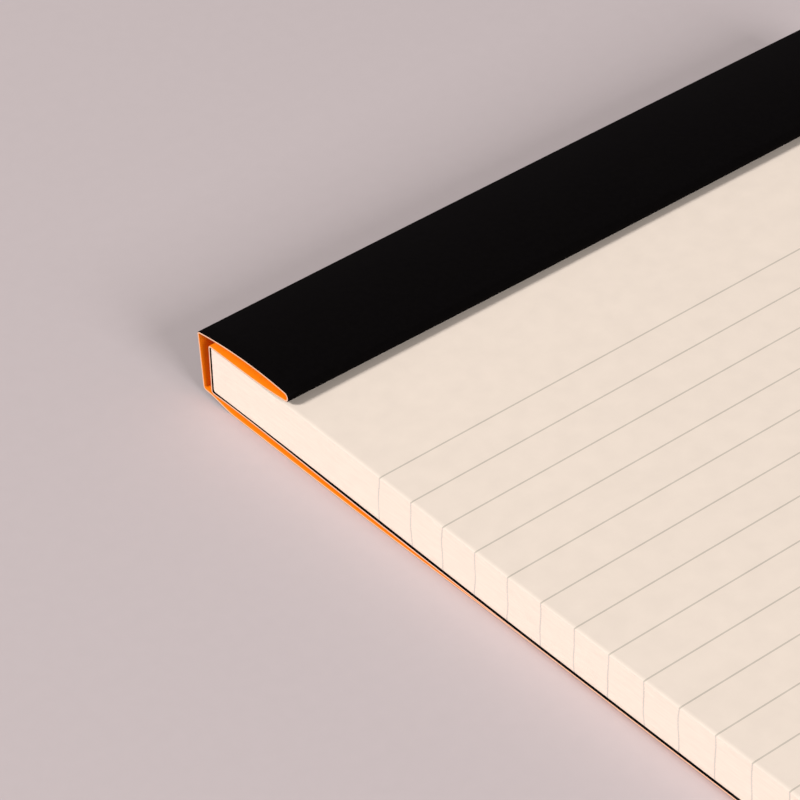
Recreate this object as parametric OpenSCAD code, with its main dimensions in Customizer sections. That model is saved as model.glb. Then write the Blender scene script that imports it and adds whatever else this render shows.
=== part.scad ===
// Head-stapled notepad with its one-piece card cover folded right back under the pad.
// X runs across the pad, +Y points to the stapled head, +Z is up, z = 0 is the table.

/* [Sheets] */
// Width of the sheets
sheet_w = 148; // [74:1:210]
// Length of the sheets from head to foot
sheet_l = 210; // [150:1:297]
// Height of the stack of sheets
stack_t = 9.2; // [5:0.1:14]

/* [Cover card] */
// Thickness of the card
card_t = 0.45; // [0.2:0.05:0.5]
// How far the card stands out past the sheets at each side and at the foot
overhang = 0.2; // [0:0.05:1]
// Clearance between the card and the flat faces of the stack
slack = 0.05; // [0.03:0.01:0.2]
// Clearance between the card and the heads of the sheets
head_gap = 0.25; // [0.2:0.05:1]
// How far the back cover hangs away from the sheets at the head
back_drop = 0.25; // [0:0.05:0.6]
// Clearance between the back cover and the front cover folded under it
under_gap = 0.1; // [0.05:0.05:0.5]
// Smallest mid radius of a scored fold
score_r = 0.5; // [0.3:0.05:0.8]

/* [Band folded over the staples] */
// Distance from the heads of the sheets to the front fold of the band
band_d = 21; // [16:0.1:30]
// How far the stapled strip springs up from the sheets at the front fold
strip_rise = 0.35; // [0:0.05:0.6]
// Mid radius of the front fold
fold_r = 1; // [0.8:0.05:1.4]
// How much lower the band lies at the head than at its front fold
band_drop = 1; // [0:0.05:1.2]
// Height of the band's bow between its front fold and the head
band_bow = 0.75; // [0:0.05:1.2]
// Space between the two layers of card behind the head
head_space = 2.6; // [1:0.1:4]
// Lean of the outer layer behind the head, in degrees
wall_lean = 3.5; // [0:0.5:8]

/* [Front cover folded under] */
// Mid radius of the crease where the front cover turns under the pad
turn_r = 0.95; // [0.6:0.05:1.5]
// How far the crease, which springs up from the table, stays below the back cover's underside
crease_gap = 0; // [0:0.05:0.4]
// Length over which the front cover comes down from the crease to the table
crease_l = 8; // [4:0.5:12]

/* [Rest on the table] */
// Height by which the folded cover lifts the head of the pad
head_lift = 1.25; // [1:0.05:3]
// Length over which the pad comes down from the head to lie flat
lift_l = 92; // [70:1:140]

/* [Staples] */
// Diameter of the staple wire
wire_d = 0.6; // [0.4:0.05:0.8]
// Distance between the legs of a staple
crown_w = 12; // [8:0.5:16]
// Length of each clinched leg end
clinch_l = 4; // [2:0.5:5]
// Distance from the heads of the sheets to the staples
staple_d = 9; // [6:0.5:12]
// Distance between the middles of the two staples
staple_pitch = 74; // [40:1:120]
// Clearance of the wire in its holes and on the card
wire_gap = 0.04; // [0.02:0.01:0.1]

/* [Hidden] */
$fn = 32;

// Steps of the bend, of a bowed stretch, of a scored fold and of the front fold
bend_steps = 18;
bow_steps = 8;
score_steps = 6;
fold_steps = 16;

// Height of the lowest sheet above the table where the pad lies flat
base_z = 2 * card_t + under_gap + slack;
// Mid lines of the card on top of the stack and behind its heads
strip_n = stack_t + slack + card_t / 2;
inner_d = -head_gap - card_t / 2;
// A fold round the stack is no wider inside than the gap at its heads
inner_r = min(score_r, head_gap + card_t / 2);
// Middle of the front fold
fold_d = band_d - fold_r;
// The band at the head: mid line of the outer layer and end of the curved top
outer_d = inner_d - card_t - head_space;
band_end_d = outer_d + score_r;

// Lift of the pad at distance d from the heads: level at the head, flat from lift_l on
function lift_turn(d) = 180 * min(max(d, 0) / lift_l, 1);
function lift(d) = head_lift * (1 + cos(lift_turn(d))) / 2;
function lift_slope(d) = PI * head_lift / (2 * lift_l) * sin(lift_turn(d));
function tilt(d) = atan(lift_slope(d));

// Point [y, z] of the lifted pad: d from the heads to the foot, n above the lowest sheet
function lifted(d, n) = [-d - n * sin(tilt(d)), base_z + lift(d) + n * cos(tilt(d))];

// Mid line of the back cover, and of the strip that springs up towards the front fold
function back_n(d) = -slack - card_t / 2 - back_drop * lift(d) / head_lift;
function strip_up(d) = strip_n + strip_rise * pow(d / fold_d, 4);

// Arc about a centre, in [d, n] or in [y, z]
function arc(centre, r, from, to, steps) = [for (i = [0 : steps])
    let (turn = from + (to - from) * i / steps) centre + r * [cos(turn), sin(turn)]];

// Distances from the heads at which the bent faces are split, head first
strip_d = [for (i = [0 : bow_steps - 1]) fold_d * i / bow_steps];
bend_d = concat(
    strip_d,
    [for (i = [0 : bend_steps]) fold_d + (lift_l - fold_d) * i / bend_steps]
);

// Mid line of the card, in three stretches
function backwards(list) = [for (i = [len(list) - 1 : -1 : 0]) list[i]];
// Back cover and fold up the heads
back_path = concat(
    [[sheet_l + overhang, back_n(sheet_l)]],
    [for (d = backwards(bend_d)) if (d > 0 && d < sheet_l) [d, back_n(d)]],
    arc([inner_d + inner_r, back_n(0) + inner_r], inner_r, 270, 180, score_steps)
);
// Stapled strip, front fold and bowed band
band_rise = atan((4 * band_bow - band_drop) / (fold_d - band_end_d));
strip_slope = atan(4 * strip_rise / fold_d);
fold_c = [fold_d, strip_n + strip_rise + fold_r];
fold_top = fold_c + fold_r * [sin(band_rise), cos(band_rise)];
band_l = fold_top[0] - band_end_d;
function band_at(u) = fold_top - [band_l * u, band_drop * u - 4 * band_bow * u * (1 - u)];
strip_path = concat(
    arc([inner_d + inner_r, strip_n - inner_r], inner_r, 180, 90, score_steps),
    [for (d = strip_d) if (d > 0) [d, strip_up(d)]],
    arc(fold_c, fold_r, strip_slope - 90, 90 - band_rise, fold_steps),
    [for (i = [1 : bow_steps - 1]) band_at(i / bow_steps)]
);
// Outer layer behind the head, crease under the pad and front cover on the table, in [y, z]
band_end = lifted(band_at(1)[0], band_at(1)[1]);
band_fall = atan((4 * band_bow + band_drop) / band_l);
corner_c = band_end - score_r * [sin(band_fall), cos(band_fall)];
wall_top = corner_c + score_r * [cos(wall_lean), -sin(wall_lean)];
crease_up = base_z + head_lift + back_n(0) - 3 * card_t / 2 - crease_gap;
crease_z = card_t / 2 + crease_up + turn_r;
wall_foot_z = crease_z - turn_r * sin(wall_lean);
wall_foot = wall_top - (wall_top[1] - wall_foot_z) * [tan(wall_lean), 1];
crease_c = [wall_foot[0] - turn_r * cos(wall_lean), crease_z];
// The front cover is as long as the sheets in front of the fold, less what wraps the head
wrap_l = PI * fold_r / 2 + band_l + (turn_r + score_r) * PI / 2 + norm(wall_top - wall_foot) + crease_l;
front_l = sheet_l + overhang - band_d - wrap_l;
front_path = concat(
    arc(corner_c, score_r, 90 - band_fall, -wall_lean, score_steps),
    arc(crease_c, turn_r, -wall_lean, -90, score_steps),
    [for (i = [1 : bow_steps])
        [crease_c[0] - crease_l * i / bow_steps, card_t / 2 + crease_up * (1 + cos(180 * i / bow_steps)) / 2]],
    [[crease_c[0] - crease_l - front_l, card_t / 2]]
);
card_path = concat([for (p = concat(back_path, strip_path)) lifted(p[0], p[1])], front_path);

// Line beside a path, s to its left
function path_way(p, i) = p[min(i + 1, len(p) - 1)] - p[max(i - 1, 0)];
function beside(p, s) = [for (i = [0 : len(p) - 1])
    let (way = path_way(p, i) / norm(path_way(p, i))) p[i] + s * [-way[1], way[0]]];
card_outline = concat(beside(card_path, card_t / 2), backwards(beside(card_path, -card_t / 2)));

// Outline of the stack from the side
stack_outline = concat(
    [for (d = bend_d) if (d < sheet_l) lifted(d, 0)],
    [lifted(sheet_l, 0), lifted(sheet_l, stack_t)],
    [for (d = backwards(bend_d)) if (d < sheet_l) lifted(d, stack_t)]
);

// Middle of the pad's length
head_y = max([for (p = card_outline) p[0]]);
middle_y = (head_y - sheet_l - overhang) / 2;

// Staple wire: heights of the crown and of the clinched ends in whole hundredths, so that the
// straight lengths and the bends meet exactly, and radius of the bends
function hundredths(v) = round(100 * v) / 100;
wire_r = wire_d / 2;
crown_n = hundredths(strip_up(staple_d) + card_t / 2 + wire_gap + wire_r);
clinch_n = hundredths(back_n(staple_d) - card_t / 2 - wire_gap - wire_r);
wire_bend_r = wire_r + wire_gap;

// Side outline [y, z] drawn right across the pad
module across(width, outline) {
    translate([-width / 2, -middle_y, 0])
        rotate([90, 0, 90])
            linear_extrude(width)
                polygon(outline);
}

// Places of the two staples, square to the bent pad
module at_staples() {
    for (side = [-1, 1])
        translate([side * staple_pitch / 2, -staple_d - middle_y, base_z + lift(staple_d)])
            rotate([tilt(staple_d), 0, 0])
                children();
}

// Holes of one staple's legs, through strip, sheets and back cover only
module leg_holes() {
    for (side = [-1, 1])
        translate([side * crown_w / 2, 0, clinch_n])
            cylinder(r = wire_r + wire_gap, h = crown_n - clinch_n);
}

// Half a staple: half its crown, one leg and the clinched end
module half_staple() {
    translate([0, 0, crown_n])
        rotate([0, 90, 0])
            cylinder(r = wire_r, h = crown_w / 2 - wire_bend_r);
    translate([crown_w / 2, 0, clinch_n + wire_bend_r])
        cylinder(r = wire_r, h = crown_n - clinch_n - 2 * wire_bend_r);
    translate([crown_w / 2 - wire_bend_r - clinch_l, 0, clinch_n])
        rotate([0, 90, 0])
            cylinder(r = wire_r, h = clinch_l);
    translate([crown_w / 2 - wire_bend_r, 0, crown_n - wire_bend_r])
        wire_bend(0);
    translate([crown_w / 2 - wire_bend_r, 0, clinch_n + wire_bend_r])
        wire_bend(-90);
}

// Quarter turn of the wire in the plane of the staple
module wire_bend(from) {
    rotate([90, 0, 0])
        rotate([0, 0, from])
            rotate_extrude(angle = 90)
                translate([wire_bend_r, 0])
                    circle(wire_r);
}

// One card sheet, folded five times
module cover() {
    color([0.93, 0.42, 0.05])
        difference() {
            across(sheet_w + 2 * overhang, card_outline);
            at_staples() leg_holes();
        }
}

// Stack of sheets, with the holes that the staples made
module page_block() {
    color([0.95, 0.9, 0.83])
        difference() {
            across(sheet_w, stack_outline);
            at_staples() leg_holes();
        }
}

// Two wire staples, clinched inwards under the back cover
module staples() {
    color([0.7, 0.71, 0.73])
        at_staples() {
            half_staple();
            mirror([1, 0, 0]) half_staple();
        }
}

cover();
page_block();
staples();
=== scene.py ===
import math
import random

import bpy
from mathutils import Matrix, Vector


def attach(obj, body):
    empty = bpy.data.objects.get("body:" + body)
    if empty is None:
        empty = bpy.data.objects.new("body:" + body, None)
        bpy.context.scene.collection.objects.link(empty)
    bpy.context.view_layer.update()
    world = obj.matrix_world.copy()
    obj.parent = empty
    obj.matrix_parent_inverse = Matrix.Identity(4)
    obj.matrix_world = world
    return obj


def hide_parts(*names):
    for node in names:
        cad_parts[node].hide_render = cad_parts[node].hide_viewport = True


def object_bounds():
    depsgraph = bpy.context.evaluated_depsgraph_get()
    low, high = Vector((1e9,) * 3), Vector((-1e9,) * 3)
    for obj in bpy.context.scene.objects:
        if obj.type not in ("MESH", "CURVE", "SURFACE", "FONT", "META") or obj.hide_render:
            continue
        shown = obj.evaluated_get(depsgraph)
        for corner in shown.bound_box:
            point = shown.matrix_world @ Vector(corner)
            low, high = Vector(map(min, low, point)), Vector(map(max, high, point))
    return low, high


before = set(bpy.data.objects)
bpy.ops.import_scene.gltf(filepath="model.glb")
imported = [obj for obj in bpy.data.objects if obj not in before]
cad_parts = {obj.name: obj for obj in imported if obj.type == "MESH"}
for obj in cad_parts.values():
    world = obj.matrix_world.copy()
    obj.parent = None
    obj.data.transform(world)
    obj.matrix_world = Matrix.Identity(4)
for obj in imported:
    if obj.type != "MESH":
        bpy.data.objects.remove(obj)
cad_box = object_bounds()

# Sizes in millimetres, as the solids have them, but with a tighter crease under the head
MM = 0.001
SHEET_W = 148.0
SHEET_L = 210.0
STACK_T = 9.2
CARD_T = 0.45
OVERHANG = 0.2
SLACK = 0.05
HEAD_GAP = 0.25
BACK_DROP = 0.25
UNDER_GAP = 0.1
SCORE_R = 0.5
BAND_D = 21.0
STRIP_RISE = 0.35
FOLD_R = 1.0
BAND_DROP = 1.0
BAND_BOW = 0.75
HEAD_SPACE = 2.6
WALL_LEAN = math.radians(3.5)
TURN_R = 0.7
CREASE_RISE = 1.1
CREASE_L = 8.0
HEAD_LIFT = 1.25
LIFT_L = 92.0

# How the card springs: rise of the front fold at its ends, how much tighter it is there, where that
# starts as a share of the half width, how it grows from there, and bow of the band's rear edge
FOLD_FLARE = 0.4
FOLD_PINCH = 0.2
FLARE_FROM = 0.25
FLARE_POWER = 1.3
REAR_BOW = 0.25
# Sideways stray of the card: at the head, of its lower layers from SKEW_L on, of the back cover
# alone at TUCK_L, fading out over SKEW_L, and of the front cover alone from FRONT_SKEW_L on
HEAD_STRAY = 0.1
FOOT_STRAY = -0.06
SKEW_L = 40.0
BACK_TUCK = 0.1
TUCK_L = 6.0
FRONT_STRAY = 0.3
FRONT_SKEW_L = 90.0
# Worn corners of the card's cut sides, and steps of the card across and along its stretches
CHAMFER = 0.09
CARD_COLUMNS = 48
BACK_STEPS = 64
SCORE_STEPS = 8
WALL_STEPS = 6
STRIP_STEPS = 16
FOLD_STEPS = 24
BAND_STEPS = 20
CORNER_STEPS = 12
CREASE_STEPS = 14
SETTLE_STEPS = 16
FRONT_STEPS = 40

# Ruling: first line from the heads, pitch, width, skew of the print, blank foot
FIRST_LINE_D = 44.85
LINE_PITCH = 8.0
LINE_W = 0.31
LINE_SKEW = 0.0055
FOOT_MARGIN = 10.0

# Stack: number of sheets, and how unevenly they are cut, at most and as the least share of that
SHEETS = 86
CUT_JITTER = 0.018
LEAST_JITTER = 0.2
# How far the print sways through the stack and from sheet to sheet, and the share and the turns of
# the sway's two waves
PRINT_SWAY = 0.22
PRINT_STRAY = 0.03
SWAY_WAVES = ((0.6, 3.4), (0.4, 7.5))
FULL_TURN = 6.28
# How the top sheets' cut sides are drawn down: depth, width, how it fades down the stack, and columns
EDGE_DROOP = 0.12
EDGE_ROUND = 0.7
DROOP_POWER = 9
EDGE_SHARES = (0.18, 0.4, 0.66, 1.0)
# The lowest sheets: how far they are set back, up to which height, how far they sag at the head, and
# how that fades up the stack
SET_BACK = 0.1
SET_BACK_H = 0.8
SAG = 0.2
SAG_POWER = 4
# Steps of the stack across, before the first line and after the last one
ACROSS_STEPS = 12
HEAD_STEPS = 14
FOOT_STEPS = 6

# Camera of the photograph: place in millimetres, angles in degrees, lens on a 36 mm sensor
CAMERA_AT = (-377.96, -332.67, 416.42)
CAMERA_AZIMUTH = 38.305
CAMERA_ELEVATION = 38.191
CAMERA_ROLL = -1.824
CAMERA_LENS = 177.34

# Colours, linear
CREAM = (0.862, 0.752, 0.658)
# Cut sides of the stack: the page's cream a little darker and pinker, painted shade that tones down
# the side the key lamp lights most
CREAM_EDGE_SHADED = (0.855, 0.722, 0.637)
RULE_GREY = (0.60, 0.535, 0.46)
RULE_EDGE = (0.64, 0.575, 0.53)
BLACK_COAT = (0.0024, 0.0020, 0.0021)
ORANGE_COAT = (0.84, 0.22, 0.005)
CARD_CORE = (0.80, 0.485, 0.33)
TABLE = (0.578, 0.508, 0.52)
ROOM = (0.70, 0.63, 0.64)
DIM_LIGHT = (1.0, 0.985, 0.98)
DIM_STRENGTH = 0.13
# Reach of the table from its middle, in metres
TABLE_REACH = 1.6

# Places that follow from the sizes
BASE_Z = 2 * CARD_T + UNDER_GAP + SLACK
HEADS_Y = cad_box[0][1] / MM + OVERHANG + SHEET_L
STRIP_N = STACK_T + SLACK + CARD_T / 2
INNER_D = -HEAD_GAP - CARD_T / 2
BAND_END_D = INNER_D - CARD_T - HEAD_SPACE + SCORE_R

rng = random.Random(7)


# The lift of the pad: level at the head, coming down to lie flat

def lift_turn(d):
    return math.pi * min(max(d, 0.0) / LIFT_L, 1.0)


def lift(d):
    return HEAD_LIFT * (1 + math.cos(lift_turn(d))) / 2


def tilt(d):
    return math.atan(math.pi * HEAD_LIFT / (2 * LIFT_L) * math.sin(lift_turn(d)))


def lifted(d, n):
    """Point (y, z): d from the heads to the foot, n above the lowest sheet."""
    a = tilt(d)
    return HEADS_Y - d - n * math.sin(a), BASE_Z + lift(d) + n * math.cos(a)


def steps(start, end, count):
    return [start + (end - start) * i / count for i in range(count + 1)]


def arc(centre, r, start, end, count):
    angles = [math.radians(a) for a in steps(start, end, count)]
    return [(centre[0] + r * math.cos(a), centre[1] + r * math.sin(a)) for a in angles]


# Mesh and material helpers

def new_piece(name, verts, faces, mats, marks, smooth):
    """Mesh object from millimetre points; marks gives each face's material."""
    mesh = bpy.data.meshes.new(name)
    mesh.from_pydata([tuple(c * MM for c in v) for v in verts], [], faces)
    for mat in mats:
        mesh.materials.append(mat)
    mesh.polygons.foreach_set("material_index", marks)
    mesh.polygons.foreach_set("use_smooth", smooth)
    mesh.validate()
    mesh.update()
    piece = bpy.data.objects.new(name, mesh)
    bpy.context.scene.collection.objects.link(piece)
    return piece


def shader(name):
    mat = bpy.data.materials.new(name)
    mat.use_nodes = True
    nodes = mat.node_tree.nodes
    return mat, nodes, mat.node_tree.links, nodes["Principled BSDF"]


def noise(nodes, links, coords, scale, detail, stretch=None):
    """Noise in object space, scale in features per metre, stretched along an axis."""
    tex = nodes.new("ShaderNodeTexNoise")
    tex.inputs["Scale"].default_value = scale
    tex.inputs["Detail"].default_value = detail
    if stretch:
        mapping = nodes.new("ShaderNodeMapping")
        mapping.inputs["Scale"].default_value = stretch
        links.new(coords.outputs["Object"], mapping.inputs["Vector"])
        links.new(mapping.outputs["Vector"], tex.inputs["Vector"])
    else:
        links.new(coords.outputs["Object"], tex.inputs["Vector"])
    return tex.outputs["Fac"]


def spread(nodes, links, value, low, high):
    """Colour or number that runs from low to high with a noise value."""
    ramp = nodes.new("ShaderNodeValToRGB")
    ramp.color_ramp.elements[0].position = 0.3
    ramp.color_ramp.elements[1].position = 0.7
    ramp.color_ramp.elements[0].color = (*low, 1)
    ramp.color_ramp.elements[1].color = (*high, 1)
    links.new(value, ramp.inputs["Fac"])
    return ramp.outputs["Color"]


def shade(colour, factor):
    return tuple(min(1.0, c * factor) for c in colour)


def add_bump(nodes, links, bsdf, height, strength, distance):
    bump = nodes.new("ShaderNodeBump")
    bump.inputs["Strength"].default_value = strength
    bump.inputs["Distance"].default_value = distance
    links.new(height, bump.inputs["Height"])
    links.new(bump.outputs["Normal"], bsdf.inputs["Normal"])


def paper_material(name, colour, stretch=None, contrast=0.02):
    """Uncoated paper: faint cloudiness, fibre bump, no gloss."""
    mat, nodes, links, bsdf = shader(name)
    coords = nodes.new("ShaderNodeTexCoord")
    cloud = noise(nodes, links, coords, 260, 4, stretch)
    colour_out = spread(nodes, links, cloud, shade(colour, 1 - contrast), shade(colour, 1 + contrast))
    links.new(colour_out, bsdf.inputs["Base Color"])
    bsdf.inputs["Roughness"].default_value = 0.88
    bsdf.inputs["Specular IOR Level"].default_value = 0.25
    fibre = noise(nodes, links, coords, 5200, 5, stretch)
    add_bump(nodes, links, bsdf, fibre, 0.25, 0.00003)
    return mat


def coat_material(name, colour, contrast, rough_low, rough_high, gloss):
    """Printed and coated card: even ink, satin gloss that varies a little, fine orange peel."""
    mat, nodes, links, bsdf = shader(name)
    coords = nodes.new("ShaderNodeTexCoord")
    ink = noise(nodes, links, coords, 900, 3)
    colour_out = spread(nodes, links, ink, shade(colour, 1 - contrast), shade(colour, 1 + contrast))
    links.new(colour_out, bsdf.inputs["Base Color"])
    rub = noise(nodes, links, coords, 75, 5)
    rough = nodes.new("ShaderNodeMapRange")
    rough.inputs["To Min"].default_value = rough_low
    rough.inputs["To Max"].default_value = rough_high
    links.new(rub, rough.inputs["Value"])
    links.new(rough.outputs["Result"], bsdf.inputs["Roughness"])
    bsdf.inputs["Specular IOR Level"].default_value = gloss
    peel = noise(nodes, links, coords, 3200, 2)
    add_bump(nodes, links, bsdf, peel, 0.12, 0.00002)
    return mat


def wire_material():
    """Drawn steel wire with lengthwise draw marks."""
    mat, nodes, links, bsdf = shader("staple_wire")
    coords = nodes.new("ShaderNodeTexCoord")
    marks = noise(nodes, links, coords, 1500, 3, (0.08, 1, 1))
    colour_out = spread(nodes, links, marks, (0.50, 0.51, 0.53), (0.68, 0.69, 0.71))
    links.new(colour_out, bsdf.inputs["Base Color"])
    bsdf.inputs["Metallic"].default_value = 1.0
    bsdf.inputs["Roughness"].default_value = 0.34
    add_bump(nodes, links, bsdf, marks, 0.15, 0.00002)
    return mat


def table_material():
    """Plain pale surface with a faint grain."""
    mat, nodes, links, bsdf = shader("table")
    coords = nodes.new("ShaderNodeTexCoord")
    grain = noise(nodes, links, coords, 340, 4)
    colour_out = spread(nodes, links, grain, shade(TABLE, 0.992), shade(TABLE, 1.008))
    links.new(colour_out, bsdf.inputs["Base Color"])
    bsdf.inputs["Roughness"].default_value = 0.9
    bsdf.inputs["Specular IOR Level"].default_value = 0.2
    return mat


# The card cover

def back_n(d):
    """Mid line of the back cover, which hangs away from the sheets towards the head."""
    return -SLACK - CARD_T / 2 - BACK_DROP * lift(d) / HEAD_LIFT


def card_path(x):
    """Mid line (y, z) of the card at x, from the back cover's foot to the front cover's edge.

    The front fold springs open towards its ends, and the band bows up between them at the head."""
    end_share = abs(x) / (SHEET_W / 2)
    spring = max(0.0, (end_share - FLARE_FROM) / (1 - FLARE_FROM)) ** FLARE_POWER
    rise = STRIP_RISE + FOLD_FLARE * spring
    fold_r = FOLD_R - FOLD_PINCH * spring
    drop = BAND_DROP + (FOLD_FLARE - 2 * FOLD_PINCH) * spring - REAR_BOW * (1 - end_share ** 2)
    # Back cover, fold up the heads and stapled strip
    fold_d = BAND_D - fold_r
    inner_r = min(SCORE_R, HEAD_GAP + CARD_T / 2)
    bend_d = INNER_D + inner_r
    local = [(d, back_n(d)) for d in steps(SHEET_L + OVERHANG, 1.0, BACK_STEPS)]
    local += arc((bend_d, back_n(0) + inner_r), inner_r, 270, 180, SCORE_STEPS)
    local += [(INNER_D, n)
              for n in steps(back_n(0) + inner_r, STRIP_N - inner_r, WALL_STEPS)[1:-1]]
    local += arc((bend_d, STRIP_N - inner_r), inner_r, 180, 90, SCORE_STEPS)
    local += [(d, STRIP_N + rise * (d / fold_d) ** 4)
              for d in steps(0, fold_d, STRIP_STEPS)[1:-1]]
    # Front fold and bowed band
    slope = math.degrees(math.atan(4 * rise / fold_d))
    climb = math.degrees(math.atan((4 * BAND_BOW - drop) / (fold_d - BAND_END_D)))
    local += arc((fold_d, STRIP_N + rise + fold_r), fold_r, slope - 90, 90 - climb, FOLD_STEPS)
    top_d, top_n = local[-1]
    band_l = top_d - BAND_END_D
    local += [(top_d - band_l * u, top_n - drop * u + 4 * BAND_BOW * u * (1 - u))
              for u in steps(0, 1, BAND_STEPS)[1:-1]]
    path = [lifted(d, n) for d, n in local]
    # Outer layer behind the head
    end = lifted(BAND_END_D, top_n - drop)
    fall = math.atan((4 * BAND_BOW + drop) / band_l)
    lean = math.degrees(WALL_LEAN)
    corner = (end[0] - SCORE_R * math.sin(fall), end[1] - SCORE_R * math.cos(fall))
    path += arc(corner, SCORE_R, 90 - math.degrees(fall), -lean, CORNER_STEPS)
    top = path[-1]
    crease_z = CARD_T / 2 + CREASE_RISE + TURN_R
    foot_z = crease_z - TURN_R * math.sin(WALL_LEAN)
    foot_y = top[0] - (top[1] - foot_z) * math.tan(WALL_LEAN)
    path += [(top[0] + (foot_y - top[0]) * u, top[1] + (foot_z - top[1]) * u)
             for u in steps(0, 1, WALL_STEPS)[1:-1]]
    # Crease under the pad and front cover on the table
    crease = (foot_y - TURN_R * math.cos(WALL_LEAN), crease_z)
    path += arc(crease, TURN_R, -lean, -90, CREASE_STEPS)
    start = path[-1][0]
    path += [(start - CREASE_L * u, CARD_T / 2 + CREASE_RISE * (1 + math.cos(math.pi * u)) / 2)
             for u in steps(0, 1, SETTLE_STEPS)[1:]]
    wrap = math.pi * fold_r / 2 + band_l + (TURN_R + SCORE_R) * math.pi / 2 + CREASE_L
    wrap += math.dist(top, (foot_y, foot_z))
    front_l = SHEET_L + OVERHANG - BAND_D - wrap
    start = path[-1][0]
    path += [(start - front_l * u, CARD_T / 2) for u in steps(0, 1, FRONT_STEPS)[1:]]
    return path


def ease(u):
    """Smooth step from 0 to 1."""
    u = min(max(u, 0.0), 1.0)
    return u * u * (3 - 2 * u)


def path_sides(path):
    """Unit normals to the left of the path."""
    sides = []
    for i in range(len(path)):
        a = path[max(i - 1, 0)]
        b = path[min(i + 1, len(path) - 1)]
        way = math.dist(a, b)
        sides.append((-(b[1] - a[1]) / way, (b[0] - a[0]) / way))
    return sides


def stray(p):
    """Sideways stray of the card at a point of its path: the folds are not quite square."""
    d = HEADS_Y - p[0]
    if d < 0 or p[1] > BASE_Z + HEAD_LIFT:
        return HEAD_STRAY
    shift = HEAD_STRAY + (FOOT_STRAY - HEAD_STRAY) * ease(d / SKEW_L)
    if p[1] < CARD_T:
        return shift + (FRONT_STRAY - FOOT_STRAY) * ease((d - SKEW_L) / (FRONT_SKEW_L - SKEW_L))
    if p[1] > CARD_T + CREASE_RISE * (1 - ease(d / CREASE_L)):
        shift += BACK_TUCK * ease(d / TUCK_L) * (1 - ease((d - TUCK_L) / SKEW_L))
    return shift


def make_cover(mats):
    """One card sheet: black face inside, orange face outside, pale core at the cut edges."""
    half = SHEET_W / 2 + OVERHANG
    xs = [-half] + steps(-half + CHAMFER, half - CHAMFER, CARD_COLUMNS) + [half]
    worn = CARD_T / 2 - CHAMFER
    offsets = [worn] + [CARD_T / 2] * (CARD_COLUMNS + 1) + [worn]
    verts = []
    rows = None
    grids = {1: [], -1: []}
    for x, off in zip(xs, offsets):
        path = card_path(x)
        sides = path_sides(path)
        rows = len(path)
        for sign in (1, -1):
            column = []
            for p, s in zip(path, sides):
                column.append(len(verts))
                verts.append((x + stray(p), p[0] + sign * off * s[0], p[1] + sign * off * s[1]))
            grids[sign].append(column)
    faces = []
    marks = []
    smooth = []

    def add(face, mark, soft):
        faces.append(face)
        marks.append(mark)
        smooth.append(soft)

    last = len(xs) - 1
    for j in range(last):
        for i in range(rows - 1):
            for sign, mark in ((1, 0), (-1, 1)):
                g = grids[sign]
                quad = (g[j][i], g[j][i + 1], g[j + 1][i + 1], g[j + 1][i])
                add(quad[::-1] if sign > 0 else quad, mark, True)
    for i in range(rows - 1):
        inside, outside = grids[1], grids[-1]
        add((inside[0][i + 1], outside[0][i + 1], outside[0][i], inside[0][i]), 2, True)
        add((inside[last][i], outside[last][i], outside[last][i + 1], inside[last][i + 1]), 2, True)
    for i in (0, rows - 1):
        ring = [grids[1][j][i] for j in range(last + 1)]
        ring += [grids[-1][j][i] for j in range(last, -1, -1)]
        add(tuple(ring[::-1] if i == 0 else ring), 2, False)
    return new_piece("folded_cover", verts, faces, mats, marks, smooth)


# The stack of ruled sheets

def line_places():
    count = int((SHEET_L - FOOT_MARGIN - FIRST_LINE_D) // LINE_PITCH) + 1
    return [FIRST_LINE_D + LINE_PITCH * i for i in range(count)]


def side_columns(skew_shift):
    """Distances from the heads at which a long side is split, with the line that starts there."""
    marks = []
    for i, d in enumerate(line_places()):
        d += skew_shift
        marks += [(d - LINE_W / 2, i, True), (d + LINE_W / 2, i, False)]
    first = marks[0][0]
    last = marks[-1][0]
    plain = [(d, None, False) for d in steps(0, first, HEAD_STEPS)[:-1]]
    plain += [(d, None, False) for d in steps(last, SHEET_L, FOOT_STEPS)[1:]]
    for a, b in zip(marks[1:-1:2], marks[2::2]):
        plain += [((a[0] + b[0]) / 2, None, False)]
    return sorted(marks + plain)


def sway(u, phase):
    """Slow drift of a line's place down the stack, u from the top sheet to the lowest."""
    return sum(share * math.sin(turns * u + a) for (share, turns), a in zip(SWAY_WAVES, phase))


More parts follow.
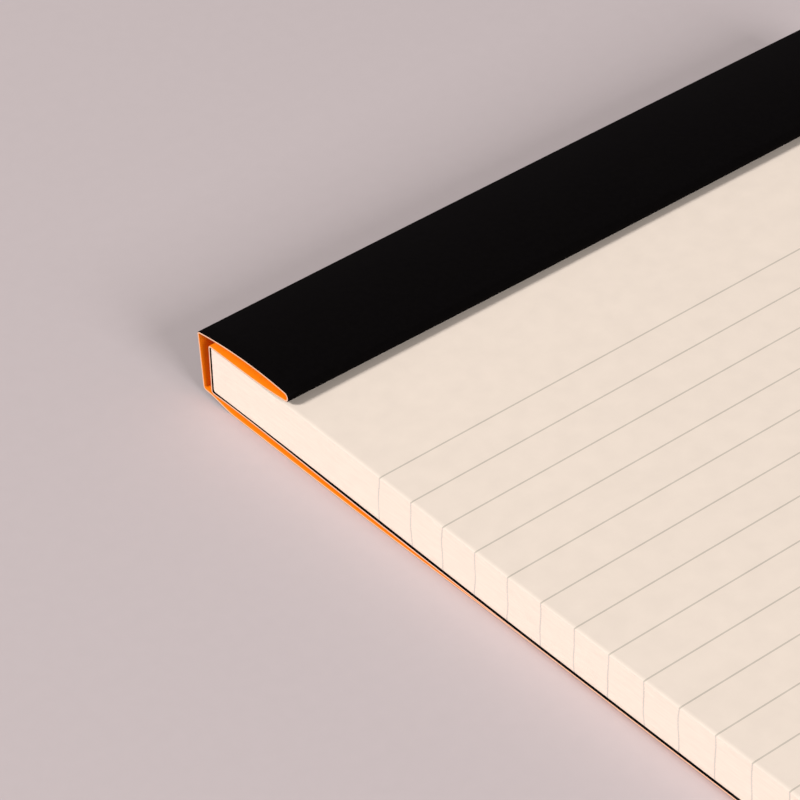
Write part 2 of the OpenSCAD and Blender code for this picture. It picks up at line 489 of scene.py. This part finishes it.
def make_pages(mats):
    """Closed stack: every sheet's cut edge is a step, the ruling is faces of its own."""
    half = SHEET_W / 2
    curl = [EDGE_ROUND * u for u in EDGE_SHARES]
    inner_xs = [-half + c for c in curl]
    inner_xs += steps(-half + EDGE_ROUND, half - EDGE_ROUND, ACROSS_STEPS)[1:-1]
    inner_xs += [half - c for c in reversed(curl)]
    across = len(inner_xs) + 1
    left = side_columns(0.0)
    right = side_columns(-LINE_SKEW * SHEET_W)
    rows = len(left)
    phases = [(rng.uniform(0, FULL_TURN), rng.uniform(0, FULL_TURN)) for _ in line_places()]
    verts = []
    loops = []

    def edge_rise(x):
        """Height of the top sheet above its drawn-down cut side."""
        gone = min((half - abs(x)) / EDGE_ROUND, 1.0)
        return EDGE_DROOP * (1 - (1 - gone) ** 2)

    def ring(n, cut, strays):
        """One loop of points round the stack, starting at the left head corner."""
        droop = EDGE_DROOP * (n / STACK_T) ** DROOP_POWER
        sag = SAG * (1 - n / STACK_T) ** SAG_POWER
        cut = [c - SET_BACK * max(0.0, 1 - n / SET_BACK_H) ** 2 for c in cut]
        width = (SHEET_W + cut[0] + cut[1]) / SHEET_W

        def place(d, drop):
            return lifted(d, n - drop - sag * lift(d) / HEAD_LIFT)

        def point(x, d, line):
            d += strays[line] if line is not None else 0.0
            return x, *place(d, droop)

        def end_point(x, d):
            return x * width, *place(d, droop * (1 - edge_rise(x) / EDGE_DROOP))

        points = [point(-half - cut[0], d, line) for d, line, _ in left]
        points[0] = point(-half - cut[0], -cut[2], None)
        points[-1] = point(-half - cut[0], SHEET_L + cut[3], None)
        points += [end_point(x, SHEET_L + cut[3]) for x in inner_xs]
        back = [point(half + cut[1], d, line) for d, line, _ in right]
        back[0] = point(half + cut[1], -cut[2], None)
        back[-1] = point(half + cut[1], SHEET_L + cut[3], None)
        points += back[::-1]
        points += [end_point(x, -cut[2]) for x in reversed(inner_xs)]
        return points

    thick = STACK_T / SHEETS
    for k in range(SHEETS):
        in_or_out = 1 if k % 2 else -1
        cut = [in_or_out * rng.uniform(LEAST_JITTER, 1.0) * CUT_JITTER for _ in range(4)]
        down = 1 - k / (SHEETS - 1)
        strays = [PRINT_SWAY * (sway(down, a) - sway(0.0, a)) + rng.gauss(0, PRINT_STRAY)
                  for a in phases]
        if k == SHEETS - 1:
            strays = [0.0] * len(phases)
        for n in (k * thick, (k + 1) * thick):
            points = ring(n, cut, strays)
            loops.append(list(range(len(verts), len(verts) + len(points))))
            verts += points
    size = len(loops[0])
    faces = []
    marks = []

    def wall_mark(i):
        """Ink where a line's end shows on a long side, else the cut side's paper with its painted
        shade.
        """
        if i < rows - 1:
            return 3 if left[i][2] else 1
        j = i - rows - (across - 1)
        if 0 <= j < rows - 1:
            return 3 if right[rows - 2 - j][2] else 1
        return 1

    for low, high in zip(loops, loops[1:]):
        for i in range(size):
            j = (i + 1) % size
            faces.append((low[i], low[j], high[j], high[i]))
            marks.append(wall_mark(i))

    def plate(loop, upward):
        """Grid of faces over a loop, ruled where a line runs across."""
        grid = []
        for i in range(rows):
            a = Vector(verts[loop[i]])
            b = Vector(verts[loop[rows + across - 1 + rows - 1 - i]])
            row = [loop[i]]
            for x in inner_xs:
                if i == 0:
                    row.append(loop[size - 1 - (len(row) - 1)])
                elif i == rows - 1:
                    row.append(loop[rows + len(row) - 1])
                else:
                    row.append(len(verts))
                    spot = a.lerp(b, (x + half) / SHEET_W)
                    verts.append((spot.x, spot.y, spot.z + (edge_rise(x) if upward else 0.0)))
            row.append(loop[rows + across - 1 + rows - 1 - i])
            grid.append(row)
        for i in range(rows - 1):
            for j in range(across):
                quad = (grid[i][j], grid[i + 1][j], grid[i + 1][j + 1], grid[i][j + 1])
                faces.append(quad if upward else quad[::-1])
                marks.append(2 if left[i][2] else 0)

    plate(loops[-1], True)
    plate(loops[0], False)
    return new_piece("ruled_sheets", verts, faces, mats, marks, [False] * len(faces))


# Build the pieces

black = coat_material("card_black", BLACK_COAT, 0.12, 0.46, 0.56, 0.008)
orange = coat_material("card_orange", ORANGE_COAT, 0.03, 0.4, 0.5, 0.04)
core = paper_material("card_core", CARD_CORE, (1, 1, 1), 0.06)
page = paper_material("page", CREAM)
# Cut sides: the page's paper with fine sheet lines, its colour darkened as painted shade
page_edge_shaded = paper_material("page_edge_shaded", CREAM_EDGE_SHADED, (1, 1, 9), 0.03)
rule = paper_material("rule", RULE_GREY, None, 0.05)
rule_edge = paper_material("rule_edge", RULE_EDGE, None, 0.05)

cover = make_cover([black, orange, core])
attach(cover, "root")
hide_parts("cover")

pages = make_pages([page, page_edge_shaded, rule, rule_edge])
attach(pages, "root")
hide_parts("page_block")

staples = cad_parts["staples"]
staples.data.materials.clear()
staples.data.materials.append(wire_material())

# Table, light and camera

corners = [(x * TABLE_REACH, y * TABLE_REACH, 0) for x, y in ((-1, -1), (1, -1), (1, 1), (-1, 1))]
table_mesh = bpy.data.meshes.new("table")
table_mesh.from_pydata(corners, [], [(0, 1, 2, 3)])
table_mesh.materials.append(table_material())
table = bpy.data.objects.new("table", table_mesh)
bpy.context.scene.collection.objects.link(table)


def area_light(name, azimuth, elevation, distance, size, power, colour):
    """Square lamp aimed at the pad from a compass angle, 0 at the head and 90 at the right."""
    az = math.radians(azimuth)
    el = math.radians(elevation)
    place = Vector((math.sin(az) * math.cos(el), math.cos(az) * math.cos(el), math.sin(el))) * distance
    data = bpy.data.lights.new(name, "AREA")
    data.shape = "SQUARE"
    data.size = size
    data.energy = power
    data.color = colour
    lamp = bpy.data.objects.new(name, data)
    lamp.location = place
    lamp.rotation_euler = (-place).to_track_quat("-Z", "Y").to_euler()
    bpy.context.scene.collection.objects.link(lamp)
    return lamp


area_light("key_behind_left", -74, 37, 4.2, 0.9, 171, (1.0, 0.97, 0.94))
area_light("fill_front", 186, 26, 4.8, 1.8, 144, (1.0, 0.98, 0.97))


def studio_world():
    """Dim even light on the object, and a pale room behind it that the camera and gloss see."""
    world = bpy.data.worlds.new("studio")
    world.use_nodes = True
    nodes = world.node_tree.nodes
    links = world.node_tree.links
    dim = nodes["Background"]
    dim.inputs["Color"].default_value = (*DIM_LIGHT, 1)
    dim.inputs["Strength"].default_value = DIM_STRENGTH
    pale = nodes.new("ShaderNodeBackground")
    pale.inputs["Color"].default_value = (*ROOM, 1)
    rays = nodes.new("ShaderNodeLightPath")
    gloss = nodes.new("ShaderNodeMath")
    gloss.operation = "MAXIMUM"
    links.new(rays.outputs["Is Glossy Ray"], gloss.inputs[0])
    links.new(rays.outputs["Is Transmission Ray"], gloss.inputs[1])
    seen = nodes.new("ShaderNodeMath")
    seen.operation = "MAXIMUM"
    links.new(rays.outputs["Is Camera Ray"], seen.inputs[0])
    links.new(gloss.outputs["Value"], seen.inputs[1])
    mix = nodes.new("ShaderNodeMixShader")
    links.new(seen.outputs["Value"], mix.inputs["Fac"])
    links.new(dim.outputs["Background"], mix.inputs[1])
    links.new(pale.outputs["Background"], mix.inputs[2])
    links.new(mix.outputs["Shader"], nodes["World Output"].inputs["Surface"])
    return world


bpy.context.scene.world = studio_world()
bpy.context.scene.view_settings.view_transform = "Standard"

camera_data = bpy.data.cameras.new("camera")
camera_data.sensor_width = 36
camera_data.lens = CAMERA_LENS
camera_data.clip_start = 0.01
camera_data.clip_end = 50
camera = bpy.data.objects.new("camera", camera_data)
az, el, roll = (math.radians(a) for a in (CAMERA_AZIMUTH, CAMERA_ELEVATION, CAMERA_ROLL))
ahead = Vector((math.sin(az) * math.cos(el), math.cos(az) * math.cos(el), -math.sin(el)))
level = ahead.cross(Vector((0, 0, 1))).normalized()
upright = level.cross(ahead)
right = level * math.cos(roll) + upright * math.sin(roll)
up = right.cross(ahead)
turned = Matrix((right, up, -ahead)).transposed()
camera.matrix_world = Matrix.Translation(Vector(CAMERA_AT) * MM) @ turned.to_4x4()
bpy.context.scene.collection.objects.link(camera)
bpy.context.scene.camera = camera
